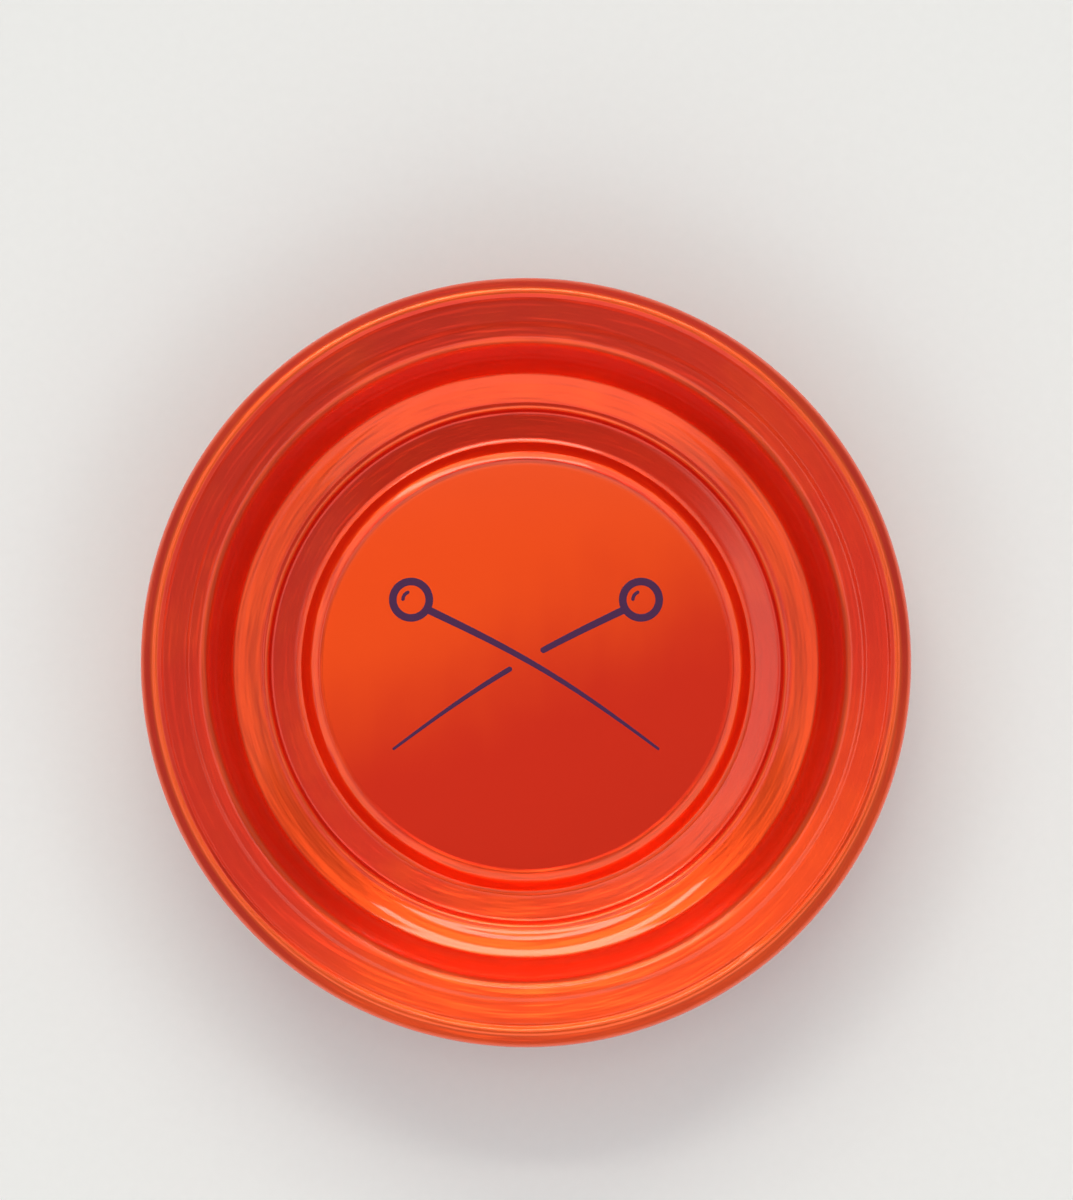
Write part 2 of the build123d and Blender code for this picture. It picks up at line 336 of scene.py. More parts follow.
def ink_line(path, widths, film, base, sides):
    """A film of ink along a path: across it half the line's width times the cosine of an angle, upwards
    the film times its sine, both to a small power that keeps their sign and makes the section flat."""
    flatness = 0.35
    around = np.linspace(0, 2 * pi, sides, endpoint=False)
    across = np.sign(np.cos(around)) * np.abs(np.cos(around)) ** flatness / 2
    upwards = np.sign(np.sin(around)) * np.abs(np.sin(around)) ** flatness
    tangent = np.gradient(path, axis=0)
    tangent /= np.hypot(*tangent.T)[:, None]
    side = np.column_stack([-tangent[:, 1], tangent[:, 0]])
    plan = path[:, None, :] + (widths[:, None] * across)[..., None] * side[:, None, :]
    level = base + film * upwards + 0 * widths[:, None]
    return np.concatenate([plan, level[..., None]], axis=-1)


def open_line(rows, start, end):
    """Points and faces of a line of ink that closes to a point at each end."""
    sides = rows.shape[1]
    points = np.vstack([start, rows.reshape(-1, 3), end])
    index = 1 + np.arange(len(rows) * sides).reshape(-1, sides)
    after = np.roll(index, -1, axis=1)
    quads = np.stack([index[:-1], after[:-1], after[1:], index[1:]], axis=-1).reshape(-1, 4)
    first_fan = np.column_stack([np.zeros(sides, int), after[0], index[0]])
    last_fan = np.column_stack([index[-1], after[-1], np.full(sides, len(points) - 1)])
    return points, quads.tolist() + first_fan.tolist() + last_fan.tolist()


def ring_line(rows):
    """Points and faces of a closed ring of ink, whose last row joins the first."""
    index = np.arange(rows.shape[0] * rows.shape[1]).reshape(rows.shape[:2])
    after = np.roll(index, -1, axis=1)
    ahead, ahead_after = np.roll(index, -1, axis=0), np.roll(after, -1, axis=0)
    quads = np.stack([index, after, ahead_after, ahead], axis=-1).reshape(-1, 4)
    return rows.reshape(-1, 3), quads.tolist()


def joined(parts):
    """Several pairs of points and faces as one pair, with the faces' corners counted on."""
    points, faces, first = [], [], 0
    for part_points, part_faces in parts:
        points.append(part_points)
        faces += [[first + corner for corner in face] for face in part_faces]
        first += len(part_points)
    return np.vstack(points), faces


def add_piece(name, points, faces, finish, replaced=()):
    """Puts points and faces into a mesh object that rides on the model, smooth, with its finish."""
    mesh = bpy.data.meshes.new(name)
    mesh.from_pydata(np.asarray(points).tolist(), [], faces)
    mesh.validate()
    mesh.shade_smooth()
    mesh.materials.append(finish)
    piece = bpy.data.objects.new(name, mesh)
    bpy.context.scene.collection.objects.link(piece)
    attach(piece, "root")
    if replaced:
        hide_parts(*replaced)
    return piece


def dress_node(name, finish):
    """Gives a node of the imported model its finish."""
    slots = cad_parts[name].data.materials
    slots.clear()
    slots.append(finish)


# Materials


class Field:
    """A number that changes over a surface: a socket whose operators add the Math nodes they name."""

    def __init__(self, finish, socket):
        self.finish = finish
        self.socket = socket

    def __add__(self, other):
        return self.finish.math("ADD", self, other)

    def __sub__(self, other):
        return self.finish.math("SUBTRACT", self, other)

    def __rsub__(self, other):
        return self.finish.math("SUBTRACT", other, self)

    def __mul__(self, other):
        return self.finish.math("MULTIPLY", self, other)

    def __truediv__(self, other):
        return self.finish.math("DIVIDE", self, other)

    def __pow__(self, other):
        return self.finish.math("POWER", self, other)

    __radd__ = __add__
    __rmul__ = __mul__


class Finish:
    """A material on the surface shader, whose constants are set on the shader's own sockets."""

    def __init__(self, name, constants):
        self.material = bpy.data.materials.new(name)
        self.material.use_nodes = True
        self.tree = self.material.node_tree
        self.shader = self.tree.nodes["Principled BSDF"]
        for socket, value in constants.items():
            self.shader.inputs[socket].default_value = value
        self.place = self.node("ShaderNodeTexCoord").outputs["Object"]

    def feed(self, socket, value):
        """Links an output or a field to a socket, or sets the socket to a constant."""
        if isinstance(value, Field):
            value = value.socket
        if isinstance(value, bpy.types.NodeSocket):
            self.tree.links.new(value, socket)
        else:
            socket.default_value = value

    def node(self, kind, settings=None, inputs=None):
        """Any node: its settings first, then its sockets by name or number."""
        made = self.tree.nodes.new(kind)
        for name, value in (settings or {}).items():
            setattr(made, name, value)
        for name, value in (inputs or {}).items():
            self.feed(made.inputs[name], value)
        return made

    def math(self, operation, *values):
        made = self.node("ShaderNodeMath", {"operation": operation}, dict(enumerate(values)))
        return Field(self, made.outputs[0])

    def along(self, axis):
        """Distance along an axis of the bowl."""
        return Field(self, self.node("ShaderNodeSeparateXYZ", inputs={0: self.place}).outputs[axis])

    def radius(self):
        """Distance from the bowl's axis."""
        return self.math("SQRT", self.along("X") ** 2 + self.along("Y") ** 2)

    def stretched(self, *shares):
        """The place with each axis times its share, so that a pattern read there is drawn out."""
        made = self.node("ShaderNodeVectorMath", {"operation": "MULTIPLY"}, {0: self.place, 1: shares})
        return made.outputs["Vector"]

    def ringwise(self, radius, circle):
        """A place that goes once round a small circle for each turn around the axis, at the radius."""
        across, along = (self.along(axis) / radius * circle for axis in "XY")
        made = self.node("ShaderNodeCombineXYZ", inputs={0: across, 1: along, 2: radius})
        return made.outputs["Vector"]

    def noise(self, size, detail=2.0, roughness=0.5, where=None):
        """Soft noise from 0 to 1 with blots about as large as the size, in metres."""
        sockets = {"Vector": where or self.place, "Scale": 1 / size, "Detail": detail, "Roughness": roughness}
        return Field(self, self.node("ShaderNodeTexNoise", inputs=sockets).outputs["Fac"])

    def line_noise(self, along, size, detail=2.0):
        """Noise that depends on one field only, such as the radius, so it draws parallel lines."""
        sockets = {"W": along, "Scale": 1 / size, "Detail": detail}
        made = self.node("ShaderNodeTexNoise", {"noise_dimensions": "1D"}, sockets)
        return Field(self, made.outputs["Fac"])

    def ramp(self, value, low, high):
        """Goes smoothly from 0 to 1 as the value goes from low to high."""
        sockets = {"Value": value, "From Min": low, "From Max": high}
        made = self.node("ShaderNodeMapRange", {"interpolation_type": "SMOOTHSTEP"}, sockets)
        return Field(self, made.outputs["Result"])

    def around(self, value, centre, reach):
        """1 within the reach of a centre, 0 beyond its soft edge."""
        edge = 0.2 * reach
        return 1 - self.ramp(self.math("ABSOLUTE", value - centre), reach - edge, reach + edge)

    def attribute(self, name):
        return Field(self, self.node("ShaderNodeAttribute", {"attribute_name": name}).outputs["Fac"])

    def blend(self, factor, first, second):
        """A colour that goes from the first to the second with the factor."""
        first_socket, second_socket, result = 6, 7, 2
        sockets = {"Factor": factor, first_socket: first, second_socket: second}
        return self.node("ShaderNodeMix", {"data_type": "RGBA"}, sockets).outputs[result]

    def bump(self, height, depth):
        """Bumps as deep as the depth, in metres, where the height field goes from 0 to 1."""
        sockets = {"Height": height, "Distance": depth, "Strength": 1.0}
        made = self.node("ShaderNodeBump", inputs=sockets)
        self.feed(self.shader.inputs["Normal"], made.outputs["Normal"])

    def open_from_behind(self):
        """Lets the camera see through the back of the surface, and no other ray."""
        behind = Field(self, self.node("ShaderNodeNewGeometry").outputs["Backfacing"])
        from_camera = Field(self, self.node("ShaderNodeLightPath").outputs["Is Camera Ray"])
        clear = self.node("ShaderNodeBsdfTransparent").outputs["BSDF"]
        first_shader, second_shader = 1, 2
        surface = self.shader.outputs["BSDF"]
        sockets = {"Fac": behind * from_camera, first_shader: surface, second_shader: clear}
        made = self.node("ShaderNodeMixShader", inputs=sockets)
        self.feed(self.tree.nodes["Material Output"].inputs["Surface"], made.outputs["Shader"])

    def set(self, socket, value):
        self.feed(self.shader.inputs[socket], value)

    def set_roughness(self, low, span, field):
        """Roughness from the low value up, by the span where the field is 1."""
        self.set("Roughness", low + span * field)


def opaque(rgb):
    return (*rgb, 1.0)


def toned(rgb, share):
    """The colour with each part times a share."""
    return opaque([share * part for part in rgb])


def candy_lacquer(colours, middle_radius, highlight_rings):
    """Transparent lacquer over bright metal: orange where it is thin, redder where it has pooled.

    The flat middle goes from orange at the back to red at the front over a ragged, streaky border: painted
    light and shade, with painted reflections in the streaky border. The metal of the rings around it shows
    fine lathe lines and slight ripples. The rings turn orange towards the front as painted light; they are
    redder in hollows and brighter on crests, partly as lacquer that pools and draws thin and partly as
    painted shade and highlight. The highlight rings, pairs of a radius and a reach, take the thin orange as
    painted highlights."""
    constants = {"Metallic": 0.9, "Specular IOR Level": 0.0, "Coat Weight": 0.65, "Coat Roughness": 0.03}
    finish = Finish("candy_lacquer", constants)
    radius = finish.radius()
    crest = finish.attribute("crest")
    cloud = finish.noise(size=24 * MM, detail=3.0)
    drift = finish.noise(size=7 * MM)
    # Streaks of painted reflection along the border of the middle's painted shade
    reflection_streaks = finish.noise(size=5 * MM, where=finish.stretched(1, 0.2, 1))
    lathe = finish.line_noise(radius, size=0.7 * MM, detail=3.0)
    ripple = finish.noise(size=1.4 * MM, where=finish.ringwise(radius, circle=4 * MM))
    peel = finish.noise(size=1.2 * MM)

    # Distance towards the front and a little to the right: the way the painted light and shade run across the
    # dish
    sideways_share = 0.35
    cloud_reach, reflection_streak_reach = 16 * MM, 6 * MM
    run = sideways_share * finish.along("X") - finish.along("Y")
    ragged_light_run = run + cloud_reach * (cloud - 0.5) + reflection_streak_reach * (reflection_streaks - 0.5)
    # The flat middle's painted shade: red towards the front, orange towards the back, with a ragged border
    painted_shade_middle = finish.ramp(ragged_light_run, low=-16 * MM, high=12 * MM)

    # Painted highlight: the rings take the thin orange towards the front and on the highlight rings
    painted_highlight_share = 0.6
    # Random patches of pooled lacquer, and more red in hollows: partly lacquer that pools, partly painted
    # shade
    patches = 0.6 * cloud + 0.3 * drift + 0.2 * (1 - crest)
    rings_pooled_and_painted_light = finish.ramp(patches, low=0.1, high=0.7)
    rings_pooled_and_painted_light = rings_pooled_and_painted_light - painted_highlight_share * finish.ramp(run, low=12 * MM, high=44 * MM)
    for ring_radius, reach in highlight_rings:
        rings_pooled_and_painted_light = rings_pooled_and_painted_light - painted_highlight_share * finish.around(radius, ring_radius, reach)
    rings_pooled_and_painted_light = finish.ramp(rings_pooled_and_painted_light, low=0, high=1)

    middle = 1 - finish.ramp(radius, low=0.98 * middle_radius, high=middle_radius)
    pooled = middle * painted_shade_middle + (1 - middle) * rings_pooled_and_painted_light
    # Orange to red: pooled lacquer, and painted light and shade
    tint_with_painted_light = finish.blend(pooled, opaque(colours.thin_and_lit_lacquer), opaque(colours.thick_and_shaded_lacquer))
    # Crests take the edge colour: partly lacquer drawn thin, partly painted highlight
    edge = finish.ramp(crest, low=0.6, high=0.9)
    finish.set("Base Color", finish.blend(edge, tint_with_painted_light, opaque(colours.edge_and_highlight_lacquer)))
    finish.set_roughness(low=colours.lacquer_roughness, span=0.06, field=drift - 0.5)
    ripple_share, peel_share = 60, 0.12
    relief = (1 - middle) * (lathe + ripple_share * ripple) + peel_share * peel
    finish.bump(relief, depth=0.004 * MM)
    return finish.material


def print_ink(colours):
    """Dark violet screen ink: half matt, with the mesh's fine grain."""
    finish = Finish("print_ink", {"Specular IOR Level": 0.3})
    grain = finish.noise(size=0.25 * MM, detail=3.0)
    deep = opaque(colours.ink)
    light = toned(colours.ink, share=1.35)
    finish.set("Base Color", finish.blend(grain, deep, light))
    finish.set_roughness(low=0.42, span=0.14, field=grain)
    finish.bump(grain, depth=0.004 * MM)
    return finish.material


def boot_rubber(colours):
    """Moulded black rubber: fine matt grain, a bloom of paler dust and a few faint flow marks."""
    finish = Finish("boot_rubber", {"Specular IOR Level": 0.4, "Sheen Weight": 0.15, "Sheen Roughness": 0.5})
    grain = finish.noise(size=0.22 * MM, detail=4.0, roughness=0.7)
    bloom = finish.ramp(finish.noise(size=9 * MM, detail=4.0), low=0.35, high=0.8)
    flow = finish.line_noise(finish.along("Z"), size=0.5 * MM)
    dark = opaque(colours.boot_rubber)
    dusty = toned(colours.boot_rubber, share=2.2)
    finish.set("Base Color", finish.blend(bloom, dark, dusty))
    finish.set_roughness(low=0.62, span=0.16, field=grain)
    finish.bump(0.8 * grain + 0.2 * flow, depth=0.02 * MM)
    return finish.material


def zinc_plate(colours):
    """Bright zinc plate over pressed steel: a cloudy passivated sheen and drawing lines."""
    finish = Finish("zinc_plate", {"Metallic": 1.0})
    cloud = finish.noise(size=3 * MM, detail=4.0)
    drawn = finish.line_noise(finish.radius(), size=0.3 * MM)
    straw_tone = (1.06, 1.0, 0.86)
    warm = opaque([part * tone for part, tone in zip(colours.zinc, straw_tone)])
    finish.set("Base Color", finish.blend(cloud, opaque(colours.zinc), warm))
    finish.set_roughness(low=0.26, span=0.14, field=cloud)
    finish.bump(drawn, depth=0.003 * MM)
    return finish.material


def sintered_ferrite(colours):
    """Dark sintered ferrite: ground faces with fine scratches and open grain."""
    finish = Finish("sintered_ferrite", {"Specular IOR Level": 0.6})
    grain = finish.noise(size=0.3 * MM, detail=5.0, roughness=0.7)
    cloud = finish.noise(size=4 * MM)
    pale = toned(colours.ferrite, share=1.9)
    finish.set("Base Color", finish.blend(0.5 * grain + 0.5 * cloud, opaque(colours.ferrite), pale))
    finish.set_roughness(low=0.48, span=0.2, field=grain)
    finish.bump(grain, depth=0.012 * MM)
    return finish.material


def plain_nylon(colours):
    """Dark moulded nylon: a soft sheen over a fine spark-eroded grain."""
    finish = Finish("plain_nylon", {"Specular IOR Level": 0.5})
    grain = finish.noise(size=0.2 * MM, detail=3.0)
    pale = toned(colours.nylon, share=1.5)
    finish.set("Base Color", finish.blend(grain, opaque(colours.nylon), pale))
    finish.set_roughness(low=0.45, span=0.15, field=grain)
    finish.bump(grain, depth=0.008 * MM)
    return finish.material


def pressed_fibre(colours):
    """Dark red vulcanised fibre: felted paper with a faint cloud."""
    finish = Finish("pressed_fibre", {"Specular IOR Level": 0.3})
    felt = finish.noise(size=0.35 * MM, detail=6.0, roughness=0.75)
    pale = toned(colours.fibre, share=1.8)
    finish.set("Base Color", finish.blend(felt, opaque(colours.fibre), pale))
    finish.set_roughness(low=0.68, span=0.15, field=felt)
    finish.bump(felt, depth=0.015 * MM)
    return finish.material


def drawn_brass(colours):
    """Drawn brass: bright, a little tarnished in clouds, with lines from the die."""
    finish = Finish("drawn_brass", {"Metallic": 1.0})
    tarnish = finish.noise(size=2.5 * MM, detail=4.0)
    lines = finish.line_noise(finish.along("Z"), size=0.2 * MM)
    dull = toned(colours.brass, share=0.72)
    tarnished = finish.ramp(tarnish, low=0.4, high=0.8)
    finish.set("Base Color", finish.blend(tarnished, opaque(colours.brass), dull))
    finish.set_roughness(low=0.2, span=0.15, field=tarnish)
    finish.bump(lines, depth=0.002 * MM)
    return finish.material


def bonding_tape(colours):
    """White acrylic bonding tape: closed cells that show as small pits."""
    finish = Finish("bonding_tape", {"Specular IOR Level": 0.3})
    cells = finish.noise(size=0.18 * MM, detail=3.0, roughness=0.6)
    shade = toned(colours.tape, share=0.8)
    finish.set("Base Color", finish.blend(cells, shade, opaque(colours.tape)))
    finish.set_roughness(low=0.6, span=0.2, field=cells)
    finish.bump(cells, depth=0.04 * MM)
    return finish.material


def cured_glue(colours):
    """Cured amber contact adhesive: glossy, uneven, with small bubbles."""
    finish = Finish("cured_glue", {"Specular IOR Level": 0.5})
    flow = finish.noise(size=1.5 * MM, detail=3.0)
    dark = toned(colours.glue, share=0.6)
    finish.set("Base Color", finish.blend(flow, dark, opaque(colours.glue)))
    finish.set_roughness(low=0.18, span=0.2, field=flow)
    finish.bump(flow, depth=0.05 * MM)
    return finish.material


# Operators, one for each piece or group of like pieces


def bowl_line(sizes):
    """Middle line of the dish's sheet, from the axis out to the end of the curled edge."""
    half = sizes.sheet / 2
    curl_middle = sizes.curl_radius - half
    moves = [
        (sizes.platform_radius, 0),
        (sizes.platform_bevel_run, -sizes.platform_bevel_drop),
        (sizes.platform_drop_run, -sizes.platform_drop),
        (sizes.platform_toe_run, -sizes.platform_toe_drop),
        (sizes.floor_width, sizes.floor_rise),
        (sizes.floor_bevel_run, sizes.floor_bevel_rise),
        (sizes.riser_run, sizes.riser_height),
        (sizes.ledge_width, sizes.ledge_rise),
        (sizes.foot_lower_run, sizes.foot_lower_rise),
        (sizes.foot_upper_run, sizes.foot_upper_rise),
        (sizes.wall_run, sizes.wall_height),
        (sizes.inner_brim_width, sizes.inner_brim_rise),
        (sizes.crease_width, sizes.crease_rise),
        (sizes.outer_brim_width, sizes.outer_brim_rise),
        (sizes.valley_width, 0),
        (sizes.crest_run, sizes.crest_rise),
        (sizes.flank_run, -sizes.flank_drop),
    ]
    corners = np.vstack([(0, 0), np.cumsum(moves, axis=0)])
    inside = [sizes.small_bend] * 8
    inside += [sizes.foot_crown_bend, sizes.wall_foot_bend, sizes.shoulder_bend]
    inside += [sizes.soft_bend] * 2
    inside += [sizes.small_bend] * 3
    wanted = np.add(inside, half)
    bends = fitting_bends(corners, wanted, sizes.bend_room)
    line = rounded_line(corners, bends, sizes.spacing, sizes.bend_step)
    turn = line[-1, 2] + pi / 2 + sizes.curl_wrap
    curl = arc(line[-1, :2], curl_middle, line[-1, 2], -turn, sizes.bend_step)
    return np.vstack([line, curl[1:]])


def crest_of(outline, reach):
    """From 0 in a hollow to 1 on a crest: half, minus half the hyperbolic tangent of turn over a reach."""
    run = np.gradient(outline, axis=0)
    heading = np.unwrap(np.arctan2(run[:, 1], run[:, 0]))
    way = np.append(0, np.cumsum(np.hypot(*np.diff(outline, axis=0).T)))
    ahead = np.interp(way + reach / 2, way, heading)
    behind = np.interp(way - reach / 2, way, heading)
    return 0.5 - 0.5 * np.tanh(ahead - behind)


class PINBOWL_OT_bowl(bpy.types.Operator):
    """Draw the dish: its bent sheet turned around the axis"""

    bl_idname = "pinbowl.bowl"
    bl_label = "Bowl"

    def execute(self, context):
        settings = context.scene.pin_bowl
        sizes = settings.bowl
        outline = sheet_outline(bowl_line(sizes), sizes.sheet, sizes.bend_step)
        outline[[0, -1], 0] = 0
        outline[:, 1] += bowl_high.z - outline[:, 1].max()
        points, faces = revolve(outline, sizes.segments)
        slope_radius = sizes.platform_radius + sizes.platform_bevel_run + sizes.platform_drop_run / 2
        floor_start = slope_radius + sizes.platform_drop_run / 2 + sizes.platform_toe_run
        floor_end = floor_start + sizes.floor_width + sizes.floor_bevel_run
        foot_start = floor_end + sizes.riser_run + sizes.ledge_width
        crown_radius = foot_start + sizes.foot_lower_run
        # Rings that take the thin orange as painted highlight: the slope around the raised middle with its
        # bevel and toe, and the wall's sloping foot
        highlight_rings = ((slope_radius, floor_start - slope_radius), (crown_radius, sizes.foot_lower_run))
        finish = candy_lacquer(settings.finishes, sizes.platform_radius, highlight_rings)
        bowl = add_piece("lacquered_bowl", points, faces, finish, ["bowl"])
        crest = crest_of(outline, sizes.crest_reach)
        around = np.repeat(crest[1:-1], sizes.segments)
        values = np.concatenate([crest[:1], around, crest[-1:]]).astype(np.float32)
        bowl.data.attributes.new("crest", "FLOAT", "POINT").data.foreach_set("value", values)
        return {"FINISHED"}


def pin_lines(sizes, side):
    """The centre of a pin's ball, and its shaft as a line in the plan.

    The shaft is a straight run from the ball to the point plus a half sine of bow. The side is 1 for
    the pin whose ball is on the left and -1 for the other."""
    ball = np.array([-side * (sizes.span / 2 - sizes.head_radius), sizes.rise / 2 - sizes.head_radius])
    tip = np.array([side * sizes.span / 2, -sizes.rise / 2])
    way = (tip - ball) / np.hypot(*(tip - ball))
    start = ball + sizes.head_radius * way
    steps = int(np.hypot(*(tip - start)) / sizes.spacing)
    shares = np.linspace(0, 1, steps)[:, None]
    bow = side * sizes.bow * np.sin(pi * shares) * np.array([-way[1], way[0]])
    return ball, start + shares * (tip - start) + bow


def circle_part(centre, radius, first, last, spacing):
    """Centre plus radius times cosine and sine, from the first angle to the last."""
    steps = int(abs(last - first) * radius / spacing)
    turn = np.linspace(first, last, steps)
    return centre + radius * np.column_stack([np.cos(turn), np.sin(turn)])


def round_ended(path, widths):
    """Line widths that fall to zero at both ends as the height of a half circle does."""
    way = np.append(0, np.cumsum(np.hypot(*np.diff(path, axis=0).T)))
    from_end = np.minimum(way, way[-1] - way)
    reach = np.clip(2 * from_end / widths, 0, 1)
    return widths * np.sqrt(1 - (1 - reach) ** 2)


class PINBOWL_OT_print(bpy.types.Operator):
    """Print two crossed ball-headed pins on the raised middle"""

    bl_idname = "pinbowl.print"
    bl_label = "Print"

    def execute(self, context):
        settings = context.scene.pin_bowl
        sizes = settings.print
        base = tape_high.z + settings.bowl.sheet
        lines = []

        def stroke(path, widths):
            rounded = round_ended(path, widths)
            rows = ink_line(path, rounded, sizes.film, base, sizes.sides)[1:-1]
            lines.append(open_line(rows, (*path[0], base), (*path[-1], base)))

        shafts = []
        for side in (1, -1):
            ball, shaft = pin_lines(sizes, side)
            shafts.append(shaft)
            ring = circle_part(ball, sizes.head_radius, 0, 2 * pi, sizes.spacing)[:-1]
            wrapped = np.vstack([ring[-1:], ring, ring[:1]])
            line_widths = np.full(len(wrapped), sizes.line)
            rows = ink_line(wrapped, line_widths, sizes.film, base, sizes.sides)[1:-1]
            lines.append(ring_line(rows))
            glint = circle_part(ball, sizes.glint_radius, sizes.glint_start, sizes.glint_end, sizes.spacing)
            stroke(glint, np.full(len(glint), sizes.glint_line))
        front, back = shafts
        stroke(front, np.linspace(sizes.line, sizes.tip_line, len(front)))
        away = np.linalg.norm(back[:, None] - front[None], axis=-1).min(axis=1)
        hidden = np.flatnonzero(away < sizes.line + sizes.crossing_gap)
        widths = np.linspace(sizes.line, sizes.tip_line, len(back))
        for shown in (slice(None, hidden[0]), slice(hidden[-1], None)):
            stroke(back[shown], widths[shown])
        points, faces = joined(lines)
        add_piece("pin_print", points, faces, print_ink(settings.finishes))
        return {"FINISHED"}


def boot_outline(sizes):
    """Section of the boot, from the axis on the pocket's floor out over the wall and the lip, down the
    side, and back to the axis below, over the foot ring, the grip ribs and the bare middle."""
    pocket_z = eyelet_low.z - sizes.clearance
    cup_radius = cup_high.x + sizes.clearance
    lip_z = boot_high.z - sizes.lip_thickness
    rib_z = boot_low.z + sizes.rib_height
    top_radius = cup_high.x + sizes.wall
    neck_radius = top_radius - sizes.lip_thickness * np.tan(sizes.draft)
    foot_radius = top_radius - (boot_high.z - boot_low.z) * np.tan(sizes.draft)
    ring_radius = foot_radius - sizes.foot_ring_width
    pitch = (ring_radius - sizes.foot_centre_radius) / sizes.rib_count
    corners = [
        (0, pocket_z),
        (sizes.eyelet_pocket, pocket_z),
        (sizes.eyelet_pocket, cup_low.z),
        (cup_radius, cup_low.z),
        (cup_radius, boot_high.z),
        (boot_high.x, boot_high.z),
        (boot_high.x, lip_z),
        (neck_radius, lip_z),
        (foot_radius, boot_low.z),
        (ring_radius, boot_low.z),
    ]
    sharp = sizes.mould_edge
    bends = [sharp, sharp, sizes.cup_corner, sharp, sizes.lip_edge, sizes.lip_edge]
    bends += [sizes.neck_bend, sizes.foot_edge, sizes.rib_edge]
    for rib in range(sizes.rib_count):
        outer = ring_radius - rib * pitch
        inner = outer - pitch + sizes.rib_width
        corners += [(outer, rib_z), (inner, rib_z), (inner, boot_low.z), (outer - pitch, boot_low.z)]
        bends += [sharp, sharp, sizes.rib_edge, sizes.rib_edge]
    corners += [(sizes.foot_centre_radius, rib_z), (0, rib_z)]
    bends += [sharp]
    return rounded_line(corners, bends, sizes.spacing, sizes.bend_step)[:, :2]


class PINBOWL_OT_boot(bpy.types.Operator):
    """Mould the rubber boot: its section turned around the axis"""

    bl_idname = "pinbowl.boot"
    bl_label = "Rubber boot"

    def execute(self, context):
        settings = context.scene.pin_bowl
        points, faces = revolve(boot_outline(settings.boot), settings.boot.segments)
        add_piece("rubber_boot", points, faces, boot_rubber(settings.finishes), ["base_boot"])
        return {"FINISHED"}


class PINBOWL_OT_magnet_unit(bpy.types.Operator):
    """Finish the magnet, its cup, the gap ring, the washer and the eyelet"""

    bl_idname = "pinbowl.magnet_unit"
    bl_label = "Magnet unit"

    def execute(self, context):
        colours = context.scene.pin_bowl.finishes
        dress_node("ring_magnet", sintered_ferrite(colours))
        dress_node("magnet_cup", zinc_plate(colours))
        dress_node("gap_ring", plain_nylon(colours))
        dress_node("fibre_washer", pressed_fibre(colours))
        dress_node("clamp_eyelet", drawn_brass(colours))
        return {"FINISHED"}


class PINBOWL_OT_bonding(bpy.types.Operator):
    """Finish the tape under the raised middle and the glue over the boot's lip"""

    bl_idname = "pinbowl.bonding"
    bl_label = "Tape and glue"

    def execute(self, context):
        colours = context.scene.pin_bowl.finishes
        dress_node("bonding_tape", bonding_tape(colours))
        dress_node("boot_glue_ring", cured_glue(colours))
        return {"FINISHED"}


class Tent(Finish):
    """The world as a light tent, whose brightness depends on the direction alone."""

    def __init__(self, name):
        self.world = bpy.data.worlds.new(name)
        self.world.use_nodes = True
        self.tree = self.world.node_tree
        self.shader = self.tree.nodes["Background"]
        self.place = self.node("ShaderNodeTexCoord").outputs["Generated"]
        self.up = self.along("Z")

    def above(self, polar, edge):
        """1 where the angle from straight above is smaller than the given one, 0 beyond the edge."""
        return self.ramp(self.up, cos(polar + edge), cos(polar))

    def between(self, value, low, high, edge):
        """1 from low to high, 0 beyond the edge."""
        return self.ramp(value, low - edge, low) * (1 - self.ramp(value, high, high + edge))

    def softbox(self, across, along, edge):
        """A rectangle in a level ceiling one unit above: 1 between two distances across, two along."""
        never_zero, horizon_fade = 0.0001, 0.05
        height = self.up + never_zero
        inside = self.between(self.along("X") / height, *across, edge)
        inside = inside * self.between(self.along("Y") / height, *along, edge)
        return inside * self.ramp(self.up, 0, horizon_fade)

    def disc(self, azimuth, polar, radius, edge):
        """A round patch of light around a direction."""
        way = (sin(polar) * sin(azimuth), sin(polar) * cos(azimuth), cos(polar))
        made = self.node("ShaderNodeVectorMath", {"operation": "DOT_PRODUCT"}, {0: self.place, 1: way})
        return self.ramp(Field(self, made.outputs["Value"]), cos(radius + edge), cos(radius))


# Lamps as rectangles in a level ceiling one unit above the bowl: across, along and their soft edge
SIDE_LAMPS = (((-2.0, -1.0), (-0.9, 0.9), 0.15), ((1.0, 2.0), (-0.9, 0.9), 0.15))
FRONT_LAMP = ((-1.07, 1.07), (-2.4, -0.85), 0.04)
BACK_LAMP = ((-1.5, 1.3), (0.7, 2.6), 0.3)
STRIP_LAMPS = (
    ((-0.5, 0.2), (0.72, 0.78), 0.05),
    ((-0.8, 0.6), (1.07, 1.15), 0.05),
    ((-1.4, 1.0), (1.62, 1.72), 0.05),
)

# Round parts of the tent in degrees: azimuth, angle from straight above, radius and soft edge
ROOF = (-80, 3, 11, 4)
HATCH = (180, 4, 8, 4)

# The ring of light in degrees from straight above: its start, its end and its soft edge
LIGHT_RING = (31, 43, 3)


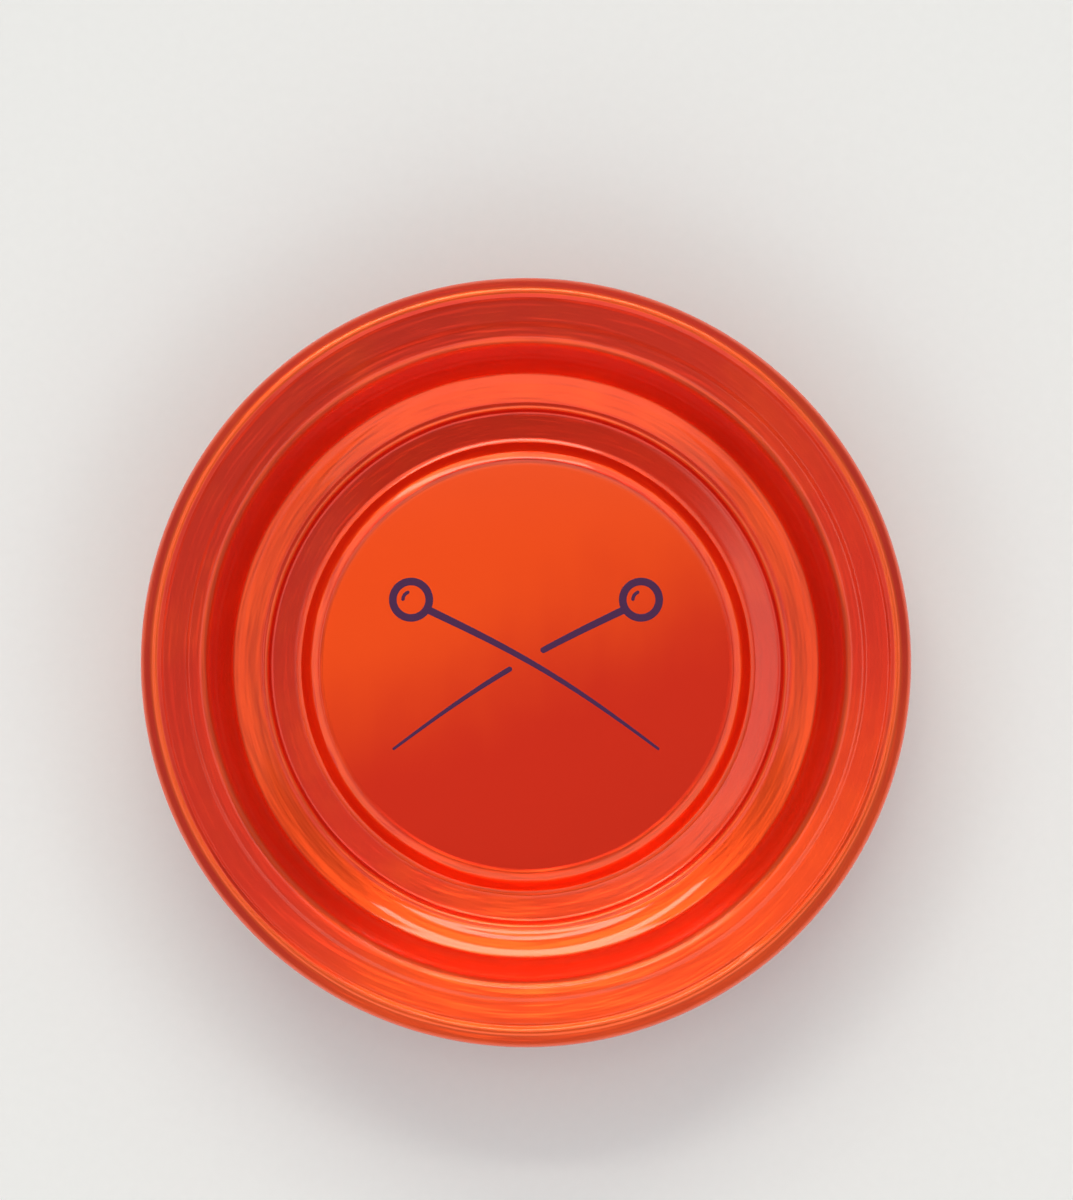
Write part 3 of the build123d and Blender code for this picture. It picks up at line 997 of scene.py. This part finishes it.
def studio_tent(stage):
    """A grey tent with a paler roof: a narrow ring of light around the roof, a softbox in front, a wide
    one and three strip lamps at the back, one more on each side, and a dark hatch that the camera
    looks through."""
    tent = Tent("studio_tent")
    white = (1.0, 1.0, 1.0)
    roof = tent.disc(*map(radians, ROOF))
    sky = tent.blend(roof, toned(white, stage.tent_level), toned(stage.warm_light, stage.roof_level))
    for lamp in SIDE_LAMPS:
        sky = tent.blend(tent.softbox(*lamp), sky, toned(stage.warm_light, stage.side_level))
    sky = tent.blend(tent.softbox(*FRONT_LAMP), sky, toned(stage.front_light, stage.front_level))
    sky = tent.blend(tent.softbox(*BACK_LAMP), sky, toned(stage.warm_light, stage.back_level))
    ring_start, ring_end, ring_edge = map(radians, LIGHT_RING)
    ring = tent.above(ring_end, ring_edge) * (1 - tent.above(ring_start, ring_edge))
    sky = tent.blend(ring, sky, toned(white, stage.ring_level))
    for lamp in STRIP_LAMPS:
        sky = tent.blend(tent.softbox(*lamp), sky, toned(stage.warm_light, stage.strip_level))
    hatch = tent.disc(*map(radians, HATCH))
    tent.set("Color", tent.blend(hatch, sky, toned(white, stage.hatch_level)))
    return tent.world


class PINBOWL_OT_stage(bpy.types.Operator):
    """Set up the pale floor, the soft lights and the camera"""

    bl_idname = "pinbowl.stage"
    bl_label = "Stage"

    def execute(self, context):
        stage = context.scene.pin_bowl.stage
        rim = np.array([0, 0, bowl_high.z])
        half = stage.floor_size / 2
        corners = [(-half, -half, 0), (half, -half, 0), (half, half, 0), (-half, half, 0)]
        mesh = bpy.data.meshes.new("floor")
        mesh.from_pydata(corners, [], [(0, 1, 2, 3)])
        floor = bpy.data.objects.new("floor", mesh)
        context.scene.collection.objects.link(floor)
        paper = Finish("floor_paper", {"Roughness": 0.8, "Specular IOR Level": 0.2})
        grain = paper.noise(size=1.5 * MM, detail=4.0)
        shade = toned(stage.floor_colour, share=0.97)
        paper.set("Base Color", paper.blend(grain, shade, opaque(stage.floor_colour)))
        paper.open_from_behind()
        mesh.materials.append(paper.material)

        context.scene.world = studio_tent(stage)

        lens = bpy.data.cameras.new("camera")
        camera = bpy.data.objects.new("camera", lens)
        context.scene.collection.objects.link(camera)
        rim_radius = bowl_high.x
        frame_height = rim_radius * FRAME_HEIGHT_PX / RIM_RADIUS_PX
        lens.lens = lens.sensor_width * stage.camera_distance / frame_height
        lens.shift_x = (FRAME_WIDTH_PX / 2 - RIM_CENTRE_X_PX) / FRAME_HEIGHT_PX
        lens.shift_y = (RIM_CENTRE_Y_PX - FRAME_HEIGHT_PX / 2) / FRAME_HEIGHT_PX
        nearest, farthest = 10 * MM, 100
        lens.clip_start = nearest
        lens.clip_end = farthest
        tilt = stage.camera_tilt
        camera.location = rim + stage.camera_distance * np.array([0, -sin(tilt), cos(tilt)])
        camera.rotation_euler = (tilt, 0, 0)
        context.scene.camera = camera
        context.scene.view_settings.view_transform = "Standard"
        return {"FINISHED"}


STEPS = (
    PINBOWL_OT_bowl,
    PINBOWL_OT_print,
    PINBOWL_OT_boot,
    PINBOWL_OT_magnet_unit,
    PINBOWL_OT_bonding,
    PINBOWL_OT_stage,
)


class PINBOWL_PT_sidebar(bpy.types.Panel):
    """The pin bowl's pieces and settings, in the 3D view's sidebar"""

    bl_idname = "PINBOWL_PT_sidebar"
    bl_label = "Magnetic Pin Bowl"
    bl_space_type = "VIEW_3D"
    bl_region_type = "UI"
    bl_category = "Pin Bowl"

    def draw(self, context):
        for step in STEPS:
            self.layout.operator(step.bl_idname)
        settings = context.scene.pin_bowl
        for group in (settings.bowl, settings.print, settings.boot, settings.finishes, settings.stage):
            box = self.layout.box()
            for name in group.bl_rna.properties.keys():
                if name not in ("rna_type", "name"):
                    box.prop(group, name)


CLASSES = (
    BowlSizes,
    PrintSizes,
    BootSizes,
    Finishes,
    StageSettings,
    PinBowlSettings,
    *STEPS,
    PINBOWL_PT_sidebar,
)


def register():
    for kind in CLASSES:
        bpy.utils.register_class(kind)
    bpy.types.Scene.pin_bowl = bpy.props.PointerProperty(type=PinBowlSettings)


def unregister():
    del bpy.types.Scene.pin_bowl
    for kind in reversed(CLASSES):
        bpy.utils.unregister_class(kind)


def main():
    register()
    bpy.ops.pinbowl.bowl()
    bpy.ops.pinbowl.print()
    bpy.ops.pinbowl.boot()
    bpy.ops.pinbowl.magnet_unit()
    bpy.ops.pinbowl.bonding()
    bpy.ops.pinbowl.stage()


if __name__ == "__main__":
    main()
